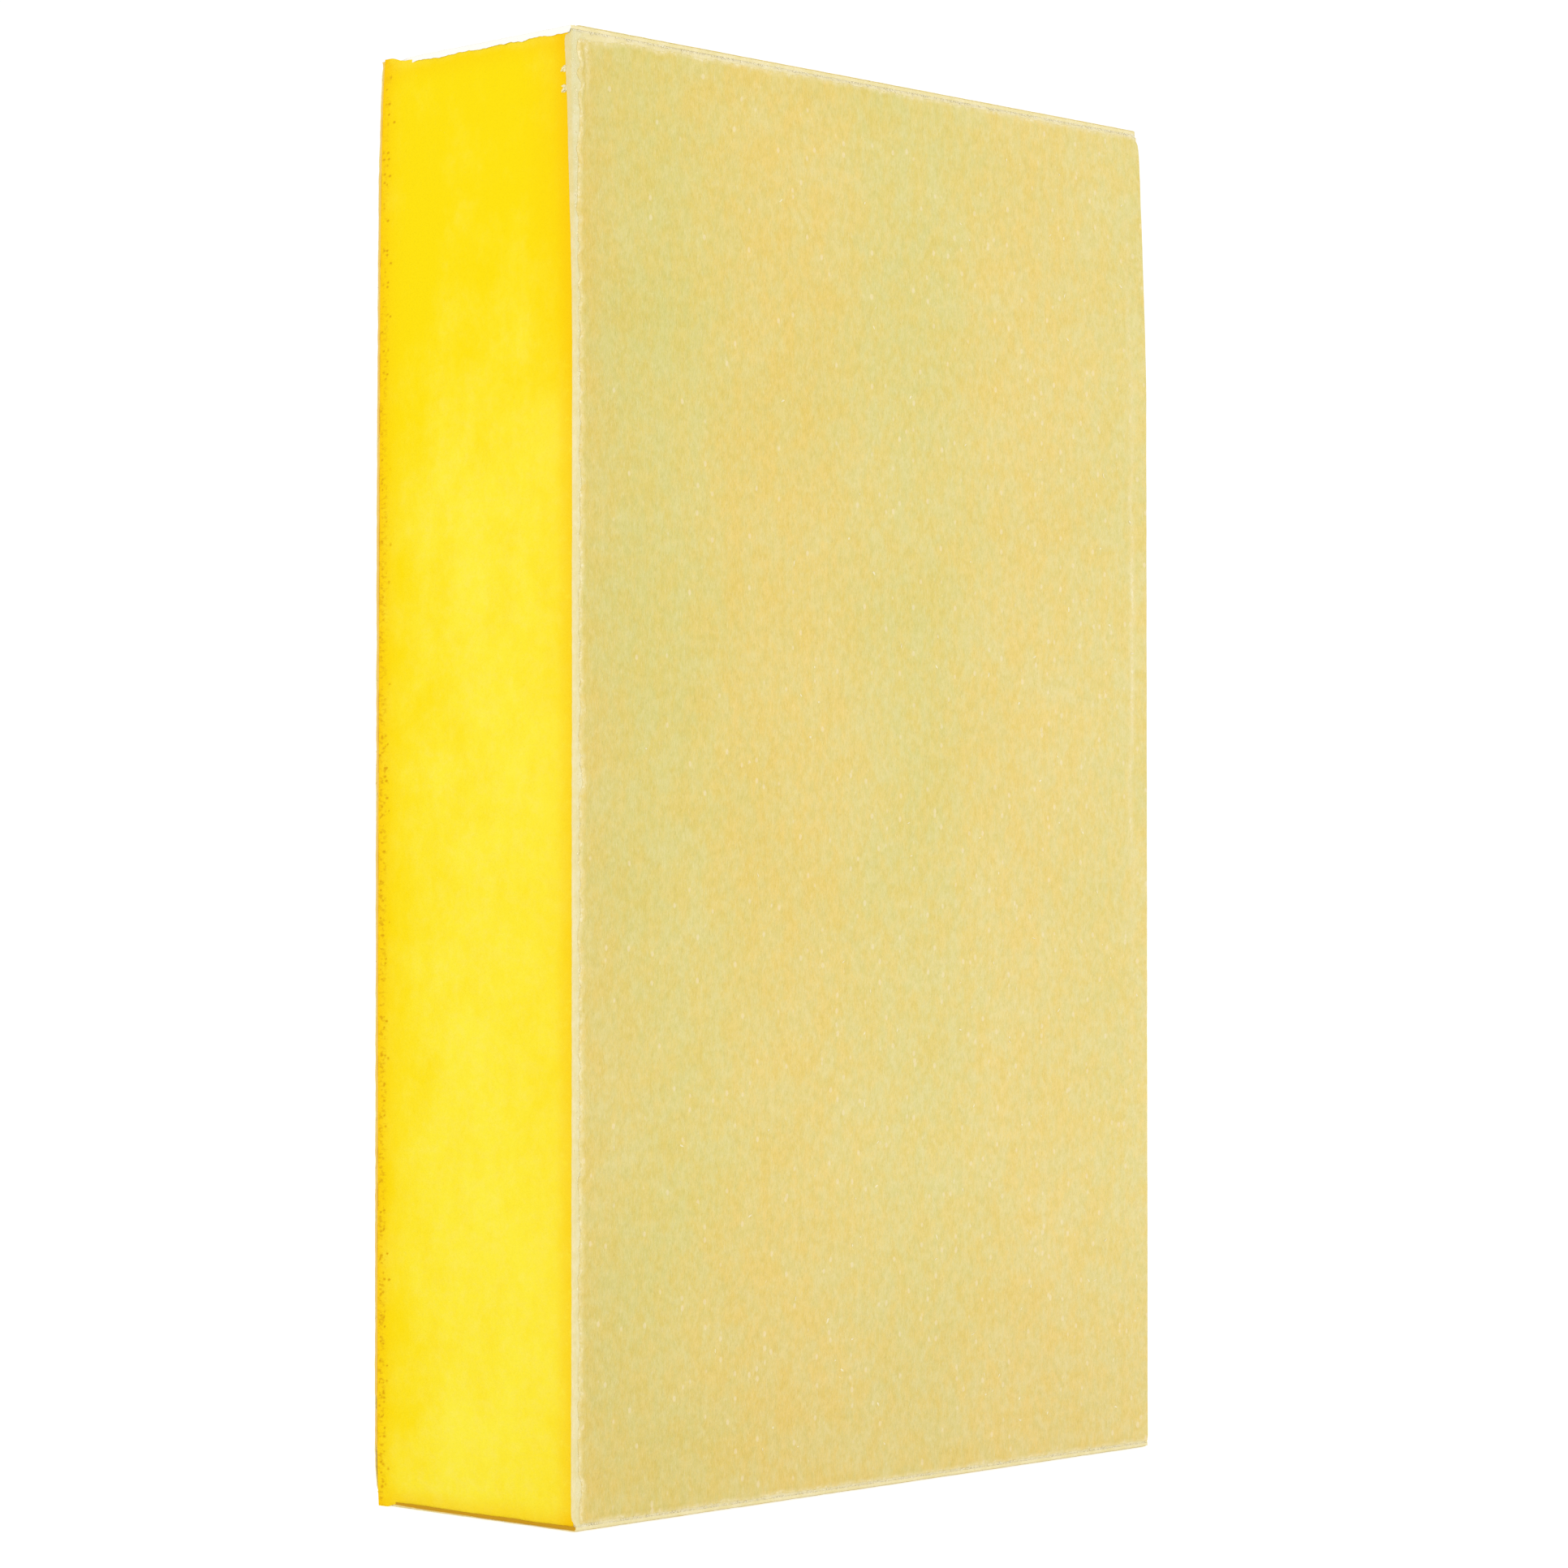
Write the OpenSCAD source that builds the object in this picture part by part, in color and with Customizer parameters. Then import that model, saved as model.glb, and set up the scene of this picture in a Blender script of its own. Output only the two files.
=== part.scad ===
// Hand sanding block: a dense foam core with an abrasive sheet glued to four of its sides.
//
// The block stands on one short end. X runs across the large working faces, Y through the
// block's thickness, and Z up its length. The origin is the centre of the bottom end.
// The two long narrow sides, at -X and +X, are bare cut foam.
//
// Each sheet is three layers, from the foam outwards: a film of contact glue, the paper
// backing, and the coat of grit and resin. The end sheets lap over the cut ends of the
// front and back sheets, so their cut edges show as thin bands on the working faces.

/* [Block] */
// Length of the block, which is its height as it stands
block_length = 125; // [80:1:200]
// Width of the two large working faces
block_width = 76; // [40:1:120]
// Thickness through the block, working face to working face
block_thickness = 24.4; // [10:0.1:60]

/* [Abrasive sheets] */
// Thickness of the paper backing
backing_thickness = 0.3; // [0.15:0.05:0.6]
// Thickness of the coat of grit and resin
grit_thickness = 0.15; // [0.05:0.05:0.4]
// Width of bare paper along a sheet's cut edges, where the grit has chipped off
chipped_margin = 0.5; // [0.1:0.1:2]

/* [Lamination] */
// Thickness of the contact glue between the foam and the paper
glue_thickness = 0.15; // [0.05:0.05:0.4]
// How far the glue stops short of the cut foam sides
glue_recess = 0.6; // [0.2:0.1:2]
// How far the cut foam sides stand back from the sheets' long edges
foam_recess = 0.25; // [0:0.05:1]

/* [Hidden] */
// Each sheet's paper and grit together, and with the glue that holds it on
sheet_thickness = backing_thickness + grit_thickness;
build_up = sheet_thickness + glue_thickness;

// Cut sizes of the sheets: both kinds are as wide as the block
side_sheet_length = block_length - 2 * sheet_thickness;
end_sheet_length = block_thickness;

// The foam is what the four sheets leave room for
foam_width = block_width - 2 * foam_recess;
foam_thickness = block_thickness - 2 * build_up;
foam_length = block_length - 2 * build_up;
glue_width = foam_width - 2 * glue_recess;

// ---- The four covered faces ----
// Each brings a layer onto its face. A layer's own axes are X across the face, Y along it
// and Z outwards, and its Z = 0 is the outside of the block.

module on_front() {
    translate([0, -block_thickness / 2, block_length / 2])
        rotate([90, 0, 0])
            children();
}

module on_back() {
    translate([0, block_thickness / 2, block_length / 2])
        rotate([-90, 0, 0])
            children();
}

module on_top() {
    translate([0, 0, block_length])
        children();
}

module on_bottom() {
    rotate([180, 0, 0])
        children();
}

// ---- The layers of a sheet ----

// A flat layer, centred on its face, whose outer side lies at `depth` below the outside
module layer(across, along, depth, thickness) {
    translate([-across / 2, -along / 2, -depth - thickness])
        cube([across, along, thickness]);
}

// The grit lies outermost, and stops short of all four cut edges of its sheet
module grit_coat(sheet_length) {
    color("darkkhaki")
        layer(
            block_width - 2 * chipped_margin,
            sheet_length - 2 * chipped_margin,
            0,
            grit_thickness
        );
}

// The paper reaches the full cut size of the sheet
module paper_backing(sheet_length) {
    color("cornsilk")
        layer(block_width, sheet_length, grit_thickness, backing_thickness);
}

// The glue covers the foam, apart from a strip along each open side
module glue_film(foam_side_length) {
    color("sandybrown")
        layer(glue_width, foam_side_length, sheet_thickness, glue_thickness);
}

// ---- Sub-parts ----

// Dense closed-cell foam, cut square
module foam_core() {
    color("gold")
        translate([-foam_width / 2, -foam_thickness / 2, build_up])
            cube([foam_width, foam_thickness, foam_length]);
}

module front_glue_film() {
    on_front() glue_film(foam_length);
}

module front_paper_backing() {
    on_front() paper_backing(side_sheet_length);
}

module front_grit_coat() {
    on_front() grit_coat(side_sheet_length);
}

module back_glue_film() {
    on_back() glue_film(foam_length);
}

module back_paper_backing() {
    on_back() paper_backing(side_sheet_length);
}

module back_grit_coat() {
    on_back() grit_coat(side_sheet_length);
}

module top_glue_film() {
    on_top() glue_film(foam_thickness);
}

module top_paper_backing() {
    on_top() paper_backing(end_sheet_length);
}

module top_grit_coat() {
    on_top() grit_coat(end_sheet_length);
}

module bottom_glue_film() {
    on_bottom() glue_film(foam_thickness);
}

module bottom_paper_backing() {
    on_bottom() paper_backing(end_sheet_length);
}

module bottom_grit_coat() {
    on_bottom() grit_coat(end_sheet_length);
}

foam_core();
front_glue_film();
front_paper_backing();
front_grit_coat();
back_glue_film();
back_paper_backing();
back_grit_coat();
top_glue_film();
top_paper_backing();
top_grit_coat();
bottom_glue_film();
bottom_paper_backing();
bottom_grit_coat();
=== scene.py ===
"""Looks of a hand sanding block: dense yellow foam with an abrasive sheet glued to four of its sides.

Every length in this file is in millimetres, until add_piece() makes a mesh in metres. A covered
face has axes of its own: across it, along it, and out of the block, with 0 at the outside.
"""

import itertools
import math
from collections import namedtuple

import bpy
import numpy as np
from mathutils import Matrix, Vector


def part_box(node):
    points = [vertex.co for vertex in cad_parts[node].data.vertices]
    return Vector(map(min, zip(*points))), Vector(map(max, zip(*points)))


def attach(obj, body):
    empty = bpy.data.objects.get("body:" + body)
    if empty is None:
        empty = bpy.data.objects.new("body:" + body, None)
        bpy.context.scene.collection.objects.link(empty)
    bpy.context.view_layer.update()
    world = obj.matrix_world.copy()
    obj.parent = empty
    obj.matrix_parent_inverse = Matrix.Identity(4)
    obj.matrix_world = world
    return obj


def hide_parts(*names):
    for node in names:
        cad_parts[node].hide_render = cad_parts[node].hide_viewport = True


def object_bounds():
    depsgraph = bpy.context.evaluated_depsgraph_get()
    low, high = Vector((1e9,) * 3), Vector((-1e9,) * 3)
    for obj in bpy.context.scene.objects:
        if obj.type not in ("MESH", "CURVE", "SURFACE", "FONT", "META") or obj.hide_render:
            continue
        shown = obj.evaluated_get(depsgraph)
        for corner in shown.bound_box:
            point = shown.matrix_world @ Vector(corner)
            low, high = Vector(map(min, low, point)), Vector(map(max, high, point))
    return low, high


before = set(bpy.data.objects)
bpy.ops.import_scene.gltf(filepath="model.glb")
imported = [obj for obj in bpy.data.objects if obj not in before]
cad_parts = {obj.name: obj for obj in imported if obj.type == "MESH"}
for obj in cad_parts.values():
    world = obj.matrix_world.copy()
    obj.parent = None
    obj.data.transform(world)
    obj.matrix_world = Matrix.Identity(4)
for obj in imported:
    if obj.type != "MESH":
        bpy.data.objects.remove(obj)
cad_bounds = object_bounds()

# ---- Sizes, all from the frame ----

MM = 0.001
LOW = np.array(cad_bounds[0]) / MM
HIGH = np.array(cad_bounds[1]) / MM
WIDTH, THICKNESS, LENGTH = HIGH - LOW


def node_size(node):
    """A CAD node's size along X, Y and Z."""
    low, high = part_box(node)
    return (np.array(high) - np.array(low)) / MM


GRIT = node_size("front_grit_coat")[1]
PAPER = node_size("front_paper_backing")[1]
GLUE = node_size("front_glue_film")[1]
SHEET = GRIT + PAPER
BUILD_UP = SHEET + GLUE
MARGIN = (WIDTH - node_size("front_grit_coat")[0]) / 2
GLUE_HALF = node_size("front_glue_film")[0] / 2
FOAM_WIDTH, FOAM_THICKNESS, FOAM_LENGTH = node_size("foam_core")

# ---- Even randomness ----

LATTICE = np.random.default_rng(7).uniform(-1, 1, 4096)
LATTICE_STRIDES = (73, 1361, 2713)
SEED_SHIFT = 31.7
SEED_STRIDE = 977


def noise(points, size, seed):
    """Smooth noise from -1 to 1 at each point. Its bumps are `size` long, one number or one per axis."""
    cells = np.asarray(points, float) / size + SEED_SHIFT * seed
    corner = np.floor(cells).astype(int)
    part = cells - corner
    part = part * part * (3 - 2 * part)
    total = np.zeros(len(cells))
    for step in itertools.product((0, 1), repeat=cells.shape[1]):
        weight = np.prod(np.where(step, part, 1 - part), axis=1)
        index = (corner + step) @ np.array(LATTICE_STRIDES[: len(step)]) + SEED_STRIDE * seed
        total += weight * LATTICE[index % len(LATTICE)]
    return total


def rough(points, size, seed, octaves=3):
    """Noise with finer and weaker noise on top, from about -1 to 1."""
    total = 0
    for octave in range(octaves):
        total = total + noise(points, np.array(size) / 2**octave, seed + octave) / 2**octave
    return total / (2 - 0.5 ** (octaves - 1))


def near(distance, reach):
    """1 where distance is 0, falling smoothly to 0 at reach."""
    part = np.clip(1 - distance / reach, 0, 1)
    return part * part * (3 - 2 * part)


def fading(effect, distance):
    """An effect given as (strength, reach), fading to 0 at its reach."""
    strength, reach = effect
    return strength * near(distance, reach)


# ---- How the real block sits out of square ----

FRONT_DRAWN_IN = 0.72
FRONT_REACH = 28
TOP_RIGHT_DRAWN_IN = 1.2
TOP_RIGHT_REACH = 25
TOP_RIGHT_POWER = 1.3
TOP_KNOCKS = ((0.5, 7), (0.2, 40))
BOTTOM_KNOCK = (0.2, 3)


def settled(points):
    """The block's points as it was cut and handled: its -X side leans in at the front, its +X side
    near the top, and its back edge on the -X side is knocked in at both ends."""
    x, y, z = points.T
    left = np.clip(-2 * x / WIDTH, 0, 1) ** 2
    right = np.clip(2 * x / WIDTH, 0, 1) ** 2
    front = np.clip(0.5 - y / THICKNESS, 0, 1)
    from_top, from_bottom = LENGTH - z, z
    knock = sum(depth * np.exp(-from_top / fade) for depth, fade in TOP_KNOCKS)
    knock = knock + BOTTOM_KNOCK[0] * np.exp(-from_bottom / BOTTOM_KNOCK[1])
    moved = x + FRONT_DRAWN_IN * left * front * (1 - near(from_top, FRONT_REACH))
    tapered = np.clip(1 - from_top / TOP_RIGHT_REACH, 0, 1) ** TOP_RIGHT_POWER
    moved = moved - TOP_RIGHT_DRAWN_IN * right * tapered
    moved = moved + knock * left * (1 - front)
    return np.stack([moved, y, z], 1)


# ---- The four covered faces ----

# A tear takes a corner off a sheet: which corner, as signs across and along, and how far it
# reaches each way. The rest is for the four edges at -across, +across, -along and +along. Bare is
# how far the grit stands back from each. Cuts is how each looks: 1 is clean and white, 0 cream,
# -1 soaked brown with glue. The orange and brown on the -X edges of the front, back and bottom
# sheets is painted shade, with real glue colour on the bottom sheet, and the white on the top
# sheet's -X edge is partly a painted highlight. Burrs is how far the blade dragged the paper's edge
# over the foam.
Face = namedtuple("Face", "name centre across along out sheet_length tears bare cuts burrs number")
FACES = [
    Face("front", (0, -THICKNESS / 2, LENGTH / 2), (1, 0, 0), (0, 0, 1), (0, -1, 0),
         LENGTH - 2 * SHEET, [(1, 1, 0.6, 1.0), (-1, -1, 0.4, 0.5), (-1, 1, 0.3, 0.4)],
         (0.55, 0.04, 0.24, 0.31), (-0.12, 0.1, 0.45, 0.60), (0.05, 0, 0, 0), 0),
    Face("back", (0, THICKNESS / 2, LENGTH / 2), (-1, 0, 0), (0, 0, 1), (0, 1, 0),
         LENGTH - 2 * SHEET, [(1, -1, 0.5, 2.0), (-1, 1, 0.7, 0.9)],
         (0.10, 0.12, 0.25, 0.35), (0.1, -0.5, 0.1, 0.1), (0, 0, 0, 0), 1),
    Face("top", (0, 0, LENGTH), (1, 0, 0), (0, 1, 0), (0, 0, 1),
         THICKNESS, [(-1, 1, 2.2, 2.2), (1, -1, 0.7, 0.4)],
         (0.90, 0.08, 0.12, 0.20), (1.0, 0.1, 0.05, 0.1), (0.27, 0, 0, 0), 2),
    Face("bottom", (0, 0, 0), (-1, 0, 0), (0, 1, 0), (0, 0, -1),
         THICKNESS, [(1, 1, 1.5, 1.5), (-1, 1, 0.8, 0.6)],
         (0.10, 0.15, 0.22, 0.20), (0.1, -1.0, 0.15, 0.1), (0, 0.02, 0, 0), 3),
]
TEAR_SOFTNESS = 2.5


def is_large(face):
    """Whether a face is one of the two working faces, and not an end."""
    return face.sheet_length > THICKNESS


def torn(face, local):
    """Points on a face, moved in from the corners that its sheet has lost."""
    across, along, out = local.T
    for side, end, reach_across, reach_along in face.tears:
        from_side = (WIDTH / 2 - side * across) / reach_across
        from_end = (face.sheet_length / 2 - end * along) / reach_along
        push = np.clip(1 - (from_side + from_end) / TEAR_SOFTNESS, 0, 1) ** 2 / 2
        across = across - side * push * reach_across
        along = along - end * push * reach_along
    return np.stack([across, along, out], 1)


def on_face(face, local):
    """Points given as (across, along, out) on a face, in the block's own axes."""
    return np.array(face.centre) + local @ np.array([face.across, face.along, face.out], float)


def laid(face, local):
    """Points of a sheet's layer, torn and settled with the block."""
    return settled(on_face(face, torn(face, local)))


def edge_gaps(face, local):
    """How far points on a face are from its -across, +across, -along and +along edges."""
    across, along = local[:, 0], local[:, 1]
    end = face.sheet_length / 2
    return across + WIDTH / 2, WIDTH / 2 - across, along + end, end - along


def nearest_edges(face, local):
    """How far points on a face are from the nearest edge on each of its two axes."""
    return np.array([WIDTH, face.sheet_length]) / 2 - np.abs(local[:, :2])


def face_seed(face, first):
    """A seed that differs from face to face."""
    return first + 20 * face.number


# ---- Mesh building ----

SHARP_ANGLE = math.radians(50)


def placed(name, data):
    """A new object in the scene, with that mesh, lamp or camera."""
    made = bpy.data.objects.new(name, data)
    bpy.context.scene.collection.objects.link(made)
    return made


def add_piece(name, points, faces, material, **attributes):
    """A mesh object of the block, kept inside the CAD box, which rides on its one body. Attributes
    are values per point."""
    points = np.clip(points, LOW, HIGH)
    mesh = bpy.data.meshes.new(name)
    mesh.from_pydata((points * MM).tolist(), [], faces, shade_flat=False)
    mesh.set_sharp_from_angle(angle=SHARP_ANGLE)
    for key, values in attributes.items():
        flat = values.ndim == 1
        attribute = mesh.attributes.new(key, "FLOAT" if flat else "FLOAT_VECTOR", "POINT")
        attribute.data.foreach_set("value" if flat else "vector", values.astype(np.float32).ravel())
    mesh.materials.append(material)
    piece = placed(name, mesh)
    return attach(piece, "root")


TINY = 1e-6


def spaced(start, *stretches):
    """Grid lines from start on, through stretches given as (length, step)."""
    lines = [np.array([start])]
    for length, step in stretches:
        count = max(1, round(length / step))
        lines.append(lines[-1][-1] + np.arange(1, count + 1) * length / count)
    return np.concatenate(lines)


def quads_between(ring, next_ring):
    """Faces between two closed rings of as many points, the second further from the viewer."""
    return np.stack([ring, next_ring, np.roll(next_ring, -1), np.roll(ring, -1)], 1).tolist()


def grid_box(across, along, walls, far=None):
    """A closed box as (points, faces): a grid over its outer side, and a ring round its walls for
    each (depth, spread). The last ring is closed by one face, or by a second grid at depth `far`."""
    a, b = np.meshgrid(across, along)
    top = np.stack([a.ravel(), b.ravel(), np.zeros(a.size)], 1)
    index = np.arange(a.size).reshape(a.shape)
    edge = np.concatenate([index[0, :-1], index[:-1, -1], index[-1, :0:-1], index[:0:-1, 0]])
    grid = np.stack([index[:-1, :-1], index[:-1, 1:], index[1:, 1:], index[1:, :-1]], -1).reshape(-1, 4)
    at_rim = np.abs(top[edge, :2]) >= np.abs([across[0], along[0]]) - TINY
    outward = np.sign(top[edge]) * np.column_stack([at_rim, np.zeros(len(edge))])
    points, faces, ring = [top], grid.tolist(), edge
    for depth, spread in walls:
        next_ring = sum(map(len, points)) + np.arange(len(edge))
        points.append(top[edge] + outward * spread - [0, 0, depth])
        faces += quads_between(ring, next_ring)
        ring = next_ring
    if far is None:
        faces.append(ring[::-1].tolist())
    else:
        start = sum(map(len, points))
        points.append(top - [0, 0, far])
        faces += quads_between(ring, edge + start)
        faces += (grid[:, ::-1] + start).tolist()
    return np.concatenate(points), faces


def outline(width, height, corner, step):
    """Points along a rectangle with rounded corners, and the way inwards at each."""
    points, inwards = [], []
    for quarter in range(4):
        turn = quarter * math.pi / 2
        ahead = np.array([math.cos(turn), math.sin(turn)])
        outward = np.array([math.sin(turn), -math.cos(turn)])
        run, reach = (width, height) if quarter % 2 == 0 else (height, width)
        for s in spaced(corner - run / 2, (run - 2 * corner, step))[:-1]:
            points.append(ahead * s + outward * reach / 2)
            inwards.append(-outward)
        centre = ahead * (run / 2 - corner) + outward * (reach / 2 - corner)
        for angle in spaced(0, (math.pi / 2, step / corner))[:-1]:
            spoke = outward * math.cos(angle) + ahead * math.sin(angle)
            points.append(centre + spoke * corner)
            inwards.append(-spoke)
    return np.array(points), np.array(inwards)


ROUNDED = 0.1
WANDER_REACH = 1.5


def rim_solid(points, inwards, profile, wander, roundness=1.0):
    """A thin sheet as (points, faces). Profile gives (inset, depth) from its outer side, round its
    cut edge, to its inner side; wander moves its edge in by that much at each point. Where roundness
    is 0 its edge is square. The rings stay inside each other at the corners."""
    rings, faces, count = [], [], len(points)
    half = np.abs(points).max(0)
    for inset, depth in profile:
        squared = inset * roundness if inset < ROUNDED else inset
        moved = squared + wander * near(inset, WANDER_REACH)
        reach = half - moved[:, None]
        flat = np.clip(points + inwards * moved[:, None], -reach, reach)
        rings.append(np.column_stack([flat, np.full(count, -depth)]))
        here = (len(rings) - 1) * count + np.arange(count)
        if len(rings) > 1:
            faces += quads_between(here - count, here)
    faces.append(list(range(count)))
    faces.append(here[::-1].tolist())
    return np.concatenate(rings), faces


ICOSAHEDRON_TIP = 2 / math.sqrt(5)


def grain_shape():
    """A 12-point, 20-sided grain of radius 1, as (points, faces)."""
    points = [(0, 0, 1)]
    for ring, height in ((0, 0.5), (1, -0.5)):
        for k in range(5):
            angle = (2 * k + ring) * math.pi / 5
            level = height * ICOSAHEDRON_TIP
            points.append((ICOSAHEDRON_TIP * math.cos(angle), ICOSAHEDRON_TIP * math.sin(angle), level))
    points.append((0, 0, -1))
    faces = []
    for k in range(5):
        upper, next_upper = 1 + k, 1 + (k + 1) % 5
        lower, next_lower = 6 + k, 6 + (k + 1) % 5
        faces += [(0, upper, next_upper), (upper, lower, next_upper)]
        faces += [(next_upper, lower, next_lower), (11, next_lower, lower)]
    return np.array(points), np.array(faces)


GRAIN_KNOCKS = (0.65, 1.15)
GRAIN_TURN = 1.4


def grains(places, sizes, random):
    """Irregular closed grains at places, each with its own half size (across, along, out)."""
    shape, shape_faces = grain_shape()
    knocks = random.uniform(*GRAIN_KNOCKS, (len(places), len(shape), 1))
    turns = random.uniform(-GRAIN_TURN, GRAIN_TURN, len(places))
    cos, sin = np.cos(turns)[:, None], np.sin(turns)[:, None]
    body = shape * knocks * sizes[:, None, :]
    turned = np.stack([
        body[..., 0] * cos - body[..., 1] * sin,
        body[..., 0] * sin + body[..., 1] * cos,
        body[..., 2],
    ], -1)
    faces = shape_faces + len(shape) * np.arange(len(places))[:, None, None]
    return (turned + places[:, None, :]).reshape(-1, 3), faces.reshape(-1, 3).tolist()


FIBRE_SIDES = 3
FIBRE_RINGS = 4
FIBRE_TAPER = 0.8
OFF_AXIS = (0.31, 0.17, 0.23)


def fibres(starts, ways, curls, radii):
    """Tapered closed fibres. Each runs from its start, way off, and bends by curl at its tip."""
    along = np.linspace(0, 1, FIBRE_RINGS)
    angle = np.arange(FIBRE_SIDES) * 2 * math.pi / FIBRE_SIDES
    unit = ways / np.linalg.norm(ways, axis=1, keepdims=True)
    side = np.cross(unit, curls + OFF_AXIS)
    side /= np.linalg.norm(side, axis=1, keepdims=True)
    other = np.cross(unit, side)
    spine = starts[:, None] + ways[:, None] * along[:, None] + curls[:, None] * along[:, None] ** 2
    taper = radii[:, None] * (1 - FIBRE_TAPER * along**2)
    spoke = side[:, None] * np.cos(angle)[:, None] + other[:, None] * np.sin(angle)[:, None]
    points = spine[:, :, None] + spoke[:, None] * taper[:, :, None, None]
    each = FIBRE_SIDES * FIBRE_RINGS
    faces = []
    for first in range(0, len(starts) * each, each):
        for ring in range(FIBRE_RINGS - 1):
            for k in range(FIBRE_SIDES):
                here = first + ring * FIBRE_SIDES + k
                beside = first + ring * FIBRE_SIDES + (k + 1) % FIBRE_SIDES
                faces.append((here, beside, beside + FIBRE_SIDES, here + FIBRE_SIDES))
        faces.append(tuple(range(first + FIBRE_SIDES - 1, first - 1, -1)))
        faces.append(tuple(range(first + each - FIBRE_SIDES, first + each)))
    return points.reshape(-1, 3), faces


# ---- Materials ----


def node(tree, kind, inputs, output=0, **settings):
    """Adds a shader node, and gives back one of its outputs."""
    made = tree.nodes.new("ShaderNode" + kind)
    for key, value in settings.items():
        setattr(made, key, value)
    for key, value in inputs.items():
        if isinstance(value, bpy.types.NodeSocket):
            tree.links.new(value, made.inputs[key])
        else:
            made.inputs[key].default_value = value
    return made.outputs[output]


def mixed(tree, share, first, second, blend="MIX"):
    """A colour between two, by share."""
    first = (*first, 1) if isinstance(first, tuple) else first
    second = (*second, 1) if isinstance(second, tuple) else second
    return node(tree, "Mix", {0: share, 6: first, 7: second}, 2, data_type="RGBA", blend_type=blend)


def calc(tree, operation, first, second=0.0):
    """A number worked out from one or two others."""
    return node(tree, "Math", {0: first, 1: second}, operation=operation)


def times(tree, first, second):
    """One number times another."""
    return calc(tree, "MULTIPLY", first, second)


def scaled(tree, value, factor, more):
    """A number times a factor, with more added."""
    return calc(tree, "ADD", times(tree, value, factor), more)


def step_up(tree, value, low, high):
    """0 up to low, 1 from high on, and smooth between."""
    inputs = {"Value": value, "From Min": low, "From Max": high}
    return node(tree, "MapRange", inputs, interpolation_type="SMOOTHSTEP")


def stored(tree, name):
    """The value that the mesh stores under that name."""
    return node(tree, "Attribute", {}, 2, attribute_name=name)


def millimetres(tree, stretch=(1, 1, 1)):
    """Places on the block in millimetres. A stretch of 5 along an axis makes a pattern 5 times as
    long."""
    scale = [1 / (MM * s) for s in stretch]
    place = node(tree, "TexCoord", {}, 3)
    return node(tree, "VectorMath", {0: place, 1: scale}, operation="MULTIPLY")


def on_sheet(tree, stretch=(1, 1, 1)):
    """Places on a face, as its mesh stores them, in millimetres."""
    place = node(tree, "Attribute", {}, 1, attribute_name="place")
    return node(tree, "VectorMath", {0: place, 1: [1 / s for s in stretch]}, operation="MULTIPLY")


def speckle(tree, place, size, detail=2.0, roughness=0.5):
    """Noise from 0 to 1 with bumps of that size."""
    return node(tree, "TexNoise", {"Vector": place, "Scale": 1 / size, "Detail": detail,
                                   "Roughness": roughness})


def cells(tree, place, size, output=0):
    """Distance from a cell's middle, or with output 1 the cell's random colour."""
    return node(tree, "TexVoronoi", {"Vector": place, "Scale": 1 / size}, output)


def flecks(tree, place, size, radius, share):
    """1 in spots of that radius, one in a cell of that size, in the given share of cells."""
    away = times(tree, cells(tree, place, size), size)
    spot = calc(tree, "SUBTRACT", 1.0, step_up(tree, away, radius * 0.6, radius * 1.2))
    chance = node(tree, "SeparateColor", {0: cells(tree, place, size, 1)})
    return times(tree, spot, calc(tree, "LESS_THAN", chance, share))


def bumped(tree, height, distance, normal=None):
    """A surface normal from a height of 0 to 1 that stands for that many millimetres."""
    inputs = {"Strength": 1.0, "Distance": distance * MM, "Height": height}
    if normal is not None:
        inputs["Normal"] = normal
    return node(tree, "Bump", inputs)


def new_material(name):
    """A material, its tree and its shader."""
    material = bpy.data.materials.new(name)
    material.use_nodes = True
    return material, material.node_tree, material.node_tree.nodes["Principled BSDF"]


def connect(tree, shader, colour, roughness, normal, specular):
    """Links a shader's colour, roughness and normal, and sets how much it mirrors."""
    for key, value in (("Base Color", colour), ("Roughness", roughness), ("Normal", normal)):
        tree.links.new(value, shader.inputs[key])
    shader.inputs["Specular IOR Level"].default_value = specular


GRIT_WARM = (0.630, 0.496, 0.154)
GRIT_GREEN = (0.573, 0.505, 0.172)
# Paler coating: real bleaching, and towards the right partly painted light
GRIT_BLEACHED_AND_LIT = (0.680, 0.568, 0.260)
CRUSHED = (0.69, 0.595, 0.33)
FLAKE = (0.735, 0.665, 0.430)
SMALL_FLAKE = (0.755, 0.640, 0.450)
DARK_SPECK = (0.09, 0.055, 0.02)

# Tints that the coating's colour is multiplied by
# The first is painted shade, towards the coating's left and bottom edges
PAINTED_SHADE_TINT = (0.965, 0.93, 0.87)
PATCH_WARM = (1.03, 0.968, 0.82)
PATCH_COOL = (0.98, 1.014, 1.09)
CLOUDED = (0.925, 0.925, 0.76)
GRIT_STREAKED = (0.86, 0.84, 0.70)
GRAIN_SHADED = (0.80, 0.76, 0.60)


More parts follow.
